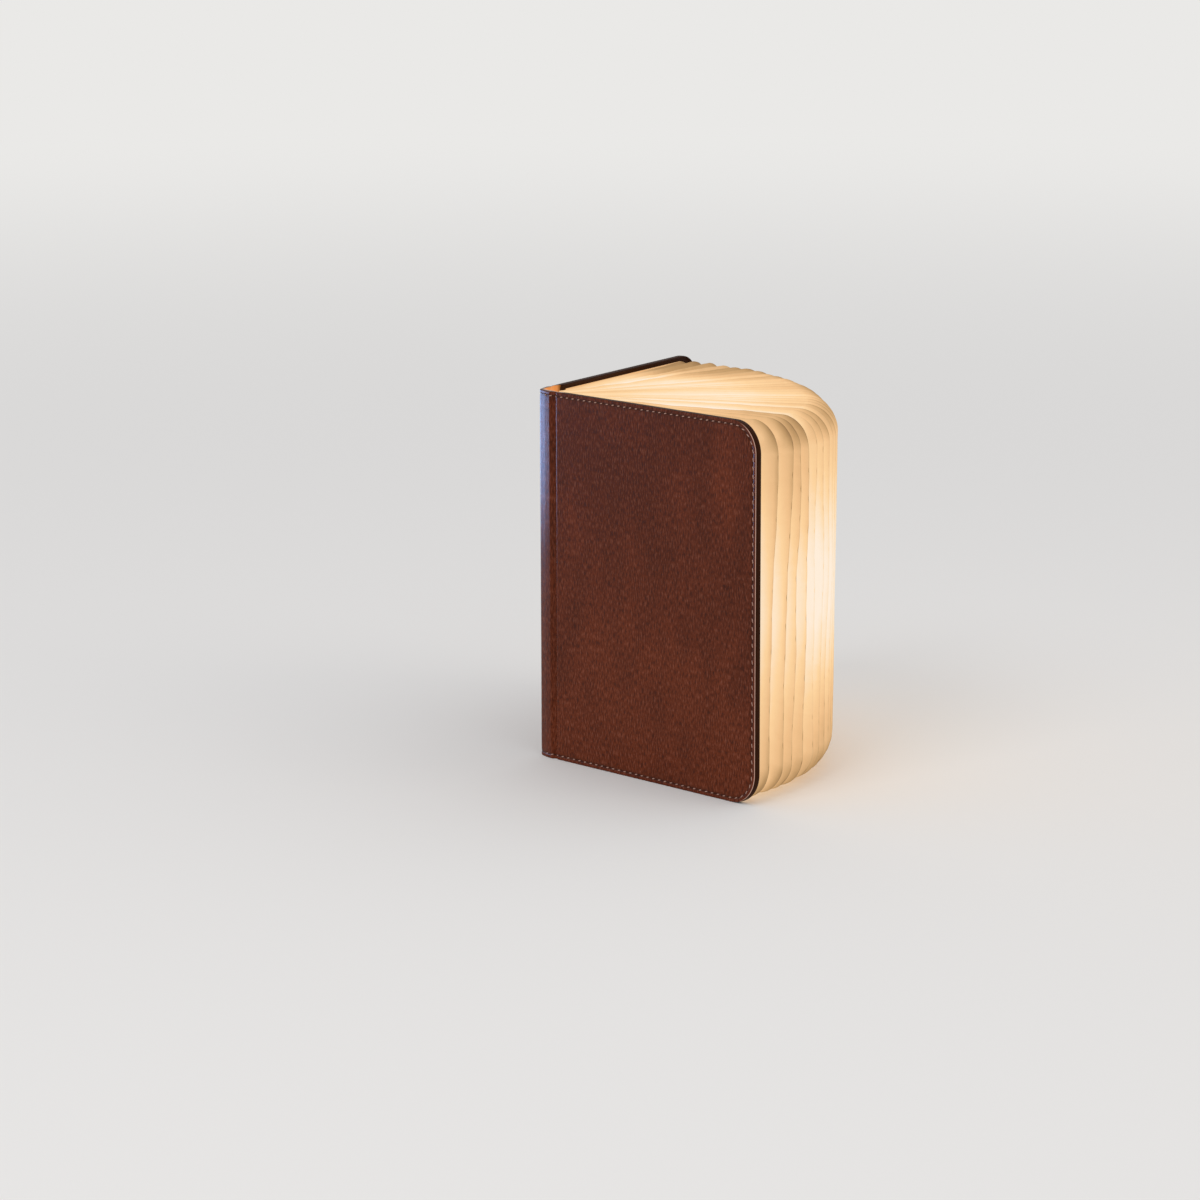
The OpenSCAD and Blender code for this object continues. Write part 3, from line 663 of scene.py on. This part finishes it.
def paper_fan(paper, side, material):
    """Half the fan as one folded sheet, carried along the U. Across it the paper goes in from each
    ridge to a valley and out to the next: the two sheets of a ridge stay together over the bonded
    seam, then part as (depth in)**1.25. Ridges stray in and out along their length as a sum of
    waves, and where shorter waves run high they are nicked. The walls bow and the ridges sway by waves
    too, and the pages lean out at the head."""
    reach, z, way_r, way_z, depth = fan_path(paper)
    length = np.concatenate([[0], np.cumsum(np.hypot(np.diff(reach), np.diff(z)))])
    seam = SEAM_W / paper.depth
    inside = np.array([0.0, 0.25 * seam, seam, 0.24, 0.55, 1.0])
    apart = 0.5 * (np.clip(inside - seam, 0, 1) / (1 - seam)) ** 1.25
    apart[-1] = VALLEY
    across = np.concatenate([apart, 1 - apart[::-1]])
    inside = np.concatenate([inside, inside[::-1]])
    pleat = np.repeat(np.arange(PLEATS), len(across))
    part, deep = np.tile(across, PLEATS), np.tile(inside, PLEATS)
    ridge = RIDGES[side]
    share = ridge[pleat] + part * (ridge[pleat + 1] - ridge[pleat])
    own = np.where(part < 0.5, pleat, pleat + 1)                  # the ridge that a column belongs to
    rng = np.random.default_rng(21 + side)
    loose = 0.2 + 0.8 * smooth_step(ridge, 0.3, 0.75)             # the middle pages lie truer
    uneven = rng.normal(0, 0.35 * MM, PLEATS + 1) * loose
    streak = rng.normal(0, 1, PLEATS + 1)
    seed = 100 + 50 * side

    def waves(first, count, lengths):
        """A wave along the U for each ridge or pleat, in columns."""
        return np.stack([wave(length, seed + first + k, lengths) for k in range(count)], -1)

    stray = uneven + paper.wander * loose * waves(0, PLEATS + 1, [0.083, 0.031, 0.0133])
    nicks = np.maximum(waves(200, PLEATS + 1, [0.0171, 0.0083, 0.0049]) - NICK_FROM, 0)
    nicks = (loose * nicks)[:, own] * (deep == 0)
    bow = waves(400, PLEATS, [0.13, 0.06])[:, pleat]
    sway = waves(600, PLEATS + 1, [0.19, 0.09])[:, own]
    go_in = depth[:, None] * deep + stray[:, own] * (1 - deep) ** 2 + paper.deckle * nicks
    r = reach[:, None] + way_r[:, None] * go_in
    height = z[:, None] + way_z[:, None] * go_in
    held = np.minimum(1, 8 * share * (1 - share))                 # the fan's two end pages are held
    shares = settle(share, height, side) + BOW * bow * np.sin(np.pi * deep)
    shares = np.clip(shares + SWAY * sway * (1 - deep) * held, 0, 1)
    up = (height - (LEAF_TOP + LEAF_FOOT) / 2) / (LEAF_TOP - LEAF_FOOT)
    out = smooth_step(r, 0.05, LEAF_REACH)
    rise = (HEAD_RISE * share**3 - HEAD_SINK) * (1 - share**10)
    height = height + rise * out * np.maximum(up, 0) * 2
    r = r + (EASE + paper.lean * up) * out * (1 - share**6)
    points = leaf_plane(shares, r, height, side)
    uv = np.stack([np.broadcast_to(length[:, None], r.shape),
                   np.broadcast_to((pleat + part) * paper.depth * 2, r.shape)], -1)
    piece = new_piece(f"paper_fan_{SIDE_WORD[side]}", points.reshape(-1, 3), grid_quads(*r.shape),
                      material, uv.reshape(-1, 2))
    set_values(piece, "turn_share", shares)
    head = np.maximum(-way_z, 0)[:, None]
    glow = lamp_glow(points, go_in, side * share, way_r[:, None], way_z[:, None])
    glow = glow + streak[own] * (0.012 + 0.045 * head)
    # Painted shade: a thin dark line along each ridge, and darker ticks where a ridge is nicked.
    glow = glow - 0.08 * (1 - np.clip(go_in / (0.7 * MM), 0, 1)) - 0.26 * nicks * (1 - head)
    set_values(piece, "lamp_glow", np.clip(glow, 0.05, 1))
    if side == BACK:
        piece.data.flip_normals()
    sheet = piece.modifiers.new("sheet", "SOLIDIFY")
    sheet.thickness, sheet.offset = paper.sheet, -1
    follow_cover(piece, side)
    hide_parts(f"pleat_walls_{SIDE_WORD[side]}",
                *[name for name in frame["nodes"] if name.startswith(f"leaf_{SIDE_WORD[side]}")],
                *(["leaf_middle"] if side == FRONT else []))


def settle(share, z, side):
    """Where real pages lie: those next to a cover slip towards it below mid height, by products of
    smooth steps, and in the front half the ones past the middle bunch up, by a bell over z."""
    slip, bunch = {FRONT: (0.050, 0.035), BACK: (0.02, 0.0)}[side]
    near = smooth_step(share, 0.62, 0.80) * smooth_step(share, 1.0, 0.86)
    low = 0.6 * smooth_step(z, 0.17, 0.105) + 0.4 * smooth_step(z, 0.12, 0)
    past = smooth_step(share, 0.30, 0.42) * smooth_step(share, 0.62, 0.54)
    return share + slip * near * low - bunch * past * bell(z, 0.125, 0.035)


def lamp_glow(points, go_in, turned, way_r, way_z):
    """How bright the lit paper is, 0 to 1. The light bar is a line of light: at distance d the angle
    that it fills over the distance is (atan(up / d) + atan(down / d)) / d, which the eye sees as
    1 - exp(-k * that). Bells and smooth steps over height, distance and page add what the folds do to
    it, and each page darkens in a straight line towards its ridge. turned runs from -1, the front
    cover, to 1, the back cover."""
    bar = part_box("light_diffuser")
    z = points[..., 2]
    d = np.hypot(points[..., 0] - bar[1].x, points[..., 1]) + 4 * MM
    seen = (np.arctan((bar[1].z - z) / d) + np.arctan((z - bar[0].z) / d)) / d
    head, run, corner = np.maximum(-way_z, 0), np.abs(way_z), 2 * np.abs(way_r * way_z)
    foot = smooth_step(z, 0.13, 0.02)
    middle = smooth_step(np.abs(turned), 0.82, 0.55)
    beside = smooth_step(np.abs(turned), 0.9, 1)
    back, front = smooth_step(turned, 0.15, 0.9), smooth_step(-turned, 0.6, 1)
    # Every page is brighter at mid height, off the head and a little at the foot.
    glow = 1 - np.exp(-0.170 * seen) + 0.20 * bell(z, 0.105, 0.055) + 0.06 * (1 - head) + 0.03 * foot
    # The middle pages are brighter still at mid height, and dimmer at the foot.
    glow = glow + middle * (0.12 * bell(z, 0.115, 0.070) - 0.14 * foot)
    # Those beside the covers are dimmer towards head and foot.
    glow = glow - beside * (0.06 * smooth_step(z, 0.14, 0.18) + 0.20 * smooth_step(z, 0.10, 0.03))
    # The head is dim near the bar, where the pleats are shallow, and far out at the back.
    near, far = np.clip((0.10 - d) / 0.07, 0, 1), smooth_step(d, 0.075, 0.13)
    glow = glow + head * (0.02 * smooth_step(-turned, 0.9, 0.6) - 0.24 * near)
    glow = glow * (1 - head * (0.42 * far * back + 0.08 * front))
    # Ridges are darker along the fore edge than along head and foot, darkest at the corners, and less
    # so in the middle. The dark band is 13 mm deep at the fore edge and 5 mm elsewhere.
    dark = (0.29 - 0.17 * run) * (1 - 0.55 * middle) + 0.36 * corner * (1 - 0.15 * middle)
    return glow * (1 - dark * (1 - np.clip(go_in / ((13 - 8 * run) * MM), 0, 1)))


# ---- operators -----------------------------------------------------------------------------


def paint(material, *names):
    """Gives CAD nodes a finish."""
    for name in names:
        slots = frame["nodes"][name].data.materials
        slots.clear()
        slots.append(material)


class BOOKLAMP_OT_case(bpy.types.Operator):
    """Makes the two halves of the leather case"""

    bl_idname = "booklamp.case"
    bl_label = "Leather Case"

    def execute(self, context):
        case = context.scene.booklamp_case
        leather, burnished = bonded_leather(case), burnished_edge()
        for side in (FRONT, BACK):
            leather_case(case, side, leather, burnished)
        return {"FINISHED"}


class BOOKLAMP_OT_stitches(bpy.types.Operator):
    """Sews the stitch line round the case"""

    bl_idname = "booklamp.stitches"
    bl_label = "Stitches"

    def execute(self, context):
        case = context.scene.booklamp_case
        thread = polyester_thread(case)
        for side in (FRONT, BACK):
            stitches(case, side, thread)
        return {"FINISHED"}


class BOOKLAMP_OT_fan(bpy.types.Operator):
    """Folds the lit paper fan between the covers"""

    bl_idname = "booklamp.fan"
    bl_label = "Paper Fan"

    def execute(self, context):
        paper = context.scene.booklamp_paper
        sheet = fibre_paper(paper)
        for side in (FRONT, BACK):
            paper_fan(paper, side, sheet)
        # The same paper glued down flat: no light behind it, but plenty on it, which a faint glow paints in.
        glued = plain("glued_fibre_paper", "#D9B88C", 0.85, grain=(0.15, 0.15, 0.15), tone=0.05,
                      depth=0.1 * MM, Emission_Color=linear("#E3B27A"), Emission_Strength=0.35)
        paint(glued, "front_end_sheet", "back_end_sheet")
        return {"FINISHED"}


class BOOKLAMP_OT_boards(bpy.types.Operator):
    """Finishes the boards, linings and magnets of the covers and the spine"""

    bl_idname = "booklamp.boards"
    bl_label = "Boards and Linings"

    def execute(self, context):
        # Millboard: pressed waste paper, grey-brown and fibrous at its cut edges.
        millboard = plain("millboard", "#9C8770", 0.85, grain=(0.8, 0.8, 3.0), tone=0.2, depth=0.1 * MM)
        # Endpaper: smooth brown paper, lit a little by the lamp.
        endpaper = plain("endpaper", "#6B4A33", 0.7, grain=(0.3, 0.3, 0.3))
        # The spine's lining glows orange where the light bar shines along it.
        lit_lining = plain("lit_lining", "#C1783F", 0.6, grain=(0.5, 0.5, 0.2), tone=0.25,
                           Emission_Color=linear("#E8903F"), Emission_Strength=0.8)
        # Sintered magnets, nickel plated: bright, faintly orange-peeled.
        nickel = plain("nickel_plate", "#C9C6BF", 0.22, 1.0, grain=(1.5, 1.5, 1.5), tone=0.04)
        paint(millboard, "spine_board", "front_cover_board", "back_cover_board")
        paint(endpaper, "front_lining", "back_lining")
        paint(lit_lining, "spine_lining")
        paint(nickel, "front_magnets", "back_magnets")
        return {"FINISHED"}


class BOOKLAMP_OT_light_bar(bpy.types.Operator):
    """Finishes the light bar and what powers it"""

    bl_idname = "booklamp.light_bar"
    bl_label = "Light Bar"

    def execute(self, context):
        # Drawn aluminium, satin anodised: fine lines along its length.
        drawn = plain("anodised_aluminium", "#C4C6C8", 0.38, 1.0, grain=(6, 6, 0.05), tone=0.08)
        # Solder mask: smooth enamel over glass cloth.
        white_mask = plain("white_solder_mask", "#EFEDE6", 0.35, tone=0.04)
        green_mask = plain("green_solder_mask", "#1F5B34", 0.3, grain=(1, 1, 1), tone=0.15)
        # Amber phosphor in silicone, lit.
        phosphor = plain("phosphor_silicone", "#F7D27A", 0.3, tone=0.05,
                         Emission_Color=linear("#FFD9A0"), Emission_Strength=1.0)
        # Opal acrylic: smooth, lit evenly from behind.
        opal = plain("opal_acrylic", "#F3E4CC", 0.3, tone=0.03,
                     Emission_Color=linear("#FFE3BC"), Emission_Strength=0.7)
        # Moulded ABS with a spark-eroded texture.
        abs_black = plain("moulded_abs", "#1B1A19", 0.55, grain=(3, 3, 3), tone=0.2)
        # Heat-shrink film over the cell: tight, glossy, faintly wrinkled.
        film = plain("shrink_film", "#3A5F9E", 0.25, grain=(0.3, 0.3, 0.05), tone=0.1, depth=0.1 * MM)
        sleeve = plain("silicone_sleeve", "#9C1F16", 0.5, tone=0.05)
        zinc = plain("zinc_plate", "#B9B7AE", 0.3, 1.0, grain=(2, 2, 2), tone=0.06)
        clear = plain("clear_acrylic", "#D6F0D2", 0.1, tone=0.02)
        paint(drawn, "light_bar_channel")
        paint(white_mask, "led_board")
        paint(phosphor, "led_emitters")
        paint(opal, "light_diffuser")
        paint(abs_black, "end_cap_top", "end_cap_bottom", "board_components", "hall_sensor")
        paint(zinc, "end_cap_screws", "charging_socket")
        paint(film, "battery_pack")
        paint(sleeve, "battery_leads")
        paint(green_mask, "control_board")
        paint(clear, "charge_indicator")
        return {"FINISHED"}


class BOOKLAMP_OT_stage(bpy.types.Operator):
    """Makes the floor, the soft lamps and the camera"""

    bl_idname = "booklamp.stage"
    bl_label = "Stage"

    def execute(self, context):
        stage = context.scene.booklamp_stage
        make_floor(stage)
        make_world(stage)
        make_lamps()
        make_camera(stage)
        return {"FINISHED"}


def make_floor(stage):
    """A flat pale floor. From 0.7 to 4 m out it runs into the backdrop's colour, for the rays that
    show the backdrop alone."""
    material, tree = new_material("pale_floor")
    place = add_node(tree, "ShaderNodeTexCoord")
    away = add_node(tree, "ShaderNodeVectorMath", {0: place.outputs["Object"]}, operation="LENGTH")
    far = add_node(tree, "ShaderNodeMapRange", {
        "Value": away.outputs["Value"], "From Min": 0.7, "From Max": 4.0},
        interpolation_type="SMOOTHSTEP")
    seen = maths(tree, "MULTIPLY", far.outputs[0], seen_ray(tree))
    near = add_node(tree, "ShaderNodeBsdfPrincipled", {
        "Base Color": linear(stage.floor), "Roughness": 0.8, "Specular IOR Level": 0.0})
    backdrop = add_node(tree, "ShaderNodeEmission", {"Color": linear(stage.backdrop), "Strength": 1.0})
    both = add_node(tree, "ShaderNodeMixShader", {0: seen, 1: near.outputs[0], 2: backdrop.outputs[0]})
    add_node(tree, "ShaderNodeOutputMaterial", {"Surface": both.outputs[0]})
    reach = 40.0
    corners = [(-reach, -reach, 0), (reach, -reach, 0), (reach, reach, 0), (-reach, reach, 0)]
    new_piece("floor", corners, [(0, 1, 2, 3)], material, smooth=False)


def seen_ray(tree):
    """1 for the rays that show the backdrop: the camera's, and those in gloss and glass."""
    ray = add_node(tree, "ShaderNodeLightPath").outputs
    glossy = maths(tree, "MAXIMUM", ray["Is Camera Ray"], ray["Is Glossy Ray"])
    return maths(tree, "MAXIMUM", glossy, ray["Is Transmission Ray"])


def make_world(stage):
    """Even pale light from all round, behind the backdrop's colour."""
    world = bpy.data.worlds.new("studio")
    world.use_nodes = True
    tree = world.node_tree
    tree.nodes.clear()
    light = add_node(tree, "ShaderNodeBackground", {"Color": linear("#F6F7FA"), "Strength": 0.80})
    seen = add_node(tree, "ShaderNodeBackground", {"Color": linear(stage.backdrop), "Strength": 1.0})
    both = add_node(tree, "ShaderNodeMixShader", {
        0: seen_ray(tree), 1: light.outputs[0], 2: seen.outputs[0]})
    add_node(tree, "ShaderNodeOutputWorld", {"Surface": both.outputs[0]})
    bpy.context.scene.world = world


LAMPS = (  # name, place, aim, width, height, watts, colour, whether only gloss shows it
    ("key", (-1.5, -1.9, 2.3), (0, 0, 0.1), 1.4, 1.4, 18, "#FFFFFF", False),
    ("fill", (2.2, -1.6, 1.6), (0, 0, 0.1), 1.6, 1.6, 8, "#FFF6EA", False),
    ("spine_gloss", (-0.51, 0.42, 0.15), (HINGE_X, 0, 0.14), 0.46, 0.22, 4.4, "#93BEFF", True))


def make_lamps():
    """Soft boxes turned to the lamp: a key over the camera's left, a weak fill from its right, and a
    cool panel beside and behind the spine, which only gloss shows."""
    for name, place, aim, width, height, power, colour, gloss_only in LAMPS:
        lamp = bpy.data.lights.new(name, "AREA")
        lamp.shape, lamp.size, lamp.size_y = "RECTANGLE", width, height
        lamp.energy, lamp.color = power, linear(colour)[:3]
        holder = bpy.data.objects.new(name, lamp)
        holder.location = place
        holder.rotation_euler = (Vector(place) - Vector(aim)).to_track_quat("Z", "Y").to_euler()
        holder.visible_camera = False
        holder.visible_diffuse = not gloss_only
        bpy.context.scene.collection.objects.link(holder)


CAMERA_AT = Vector((HINGE_X - 0.2314, -2.4526, 0.582))
# How far the view is turned from straight along +Y.
DOWN, RIGHT, ROLL = math.radians(11.26), math.radians(6.0), math.radians(-0.13)
SENSOR, CLIP_END = 36, 100      # mm wide; m, past the floor's corners


def make_camera(stage):
    """The photograph's viewpoint, fitted to the covers' edges: 2.45 m away, 0.58 m over the table,
    looking 11 degrees down."""
    data = bpy.data.cameras.new("camera")
    data.sensor_width, data.lens, data.clip_end = SENSOR, stage.lens, CLIP_END
    camera = bpy.data.objects.new("camera", data)
    look = Vector((math.sin(RIGHT) * math.cos(DOWN), math.cos(RIGHT) * math.cos(DOWN), -math.sin(DOWN)))
    turn = look.to_track_quat("-Z", "Y").to_matrix().to_4x4()
    camera.matrix_world = Matrix.Translation(CAMERA_AT) @ turn @ Matrix.Rotation(ROLL, 4, "Z")
    bpy.context.scene.collection.objects.link(camera)
    bpy.context.scene.camera = camera
    bpy.context.scene.view_settings.view_transform = "Standard"


class BOOKLAMP_PT_panel(bpy.types.Panel):
    """Book lamp in the sidebar"""

    bl_idname = "BOOKLAMP_PT_panel"
    bl_label = "Book Lamp"
    bl_space_type = "VIEW_3D"
    bl_region_type = "UI"
    bl_category = "Book Lamp"

    def draw(self, context):
        for group in (context.scene.booklamp_case, context.scene.booklamp_paper,
                      context.scene.booklamp_stage):
            box = self.layout.box()
            for name in group.bl_rna.properties.keys():
                if name not in ("rna_type", "name"):
                    box.prop(group, name)
        for operator in OPERATORS:
            self.layout.operator(operator.bl_idname)


SETTINGS = {"booklamp_case": CaseSettings, "booklamp_paper": PaperSettings,
            "booklamp_stage": StageSettings}
OPERATORS = (BOOKLAMP_OT_stage, BOOKLAMP_OT_case, BOOKLAMP_OT_stitches, BOOKLAMP_OT_fan,
             BOOKLAMP_OT_boards, BOOKLAMP_OT_light_bar)


def register():
    for cls in (*SETTINGS.values(), *OPERATORS, BOOKLAMP_PT_panel):
        bpy.utils.register_class(cls)
    for name, group in SETTINGS.items():
        setattr(bpy.types.Scene, name, bpy.props.PointerProperty(type=group))


def unregister():
    for name in SETTINGS:
        delattr(bpy.types.Scene, name)
    for cls in (BOOKLAMP_PT_panel, *reversed(OPERATORS), *reversed(SETTINGS.values())):
        bpy.utils.unregister_class(cls)


def main():
    register()
    for operator in OPERATORS:
        group, name = operator.bl_idname.split(".")
        getattr(getattr(bpy.ops, group), name)()


if __name__ == "__main__":
    main()
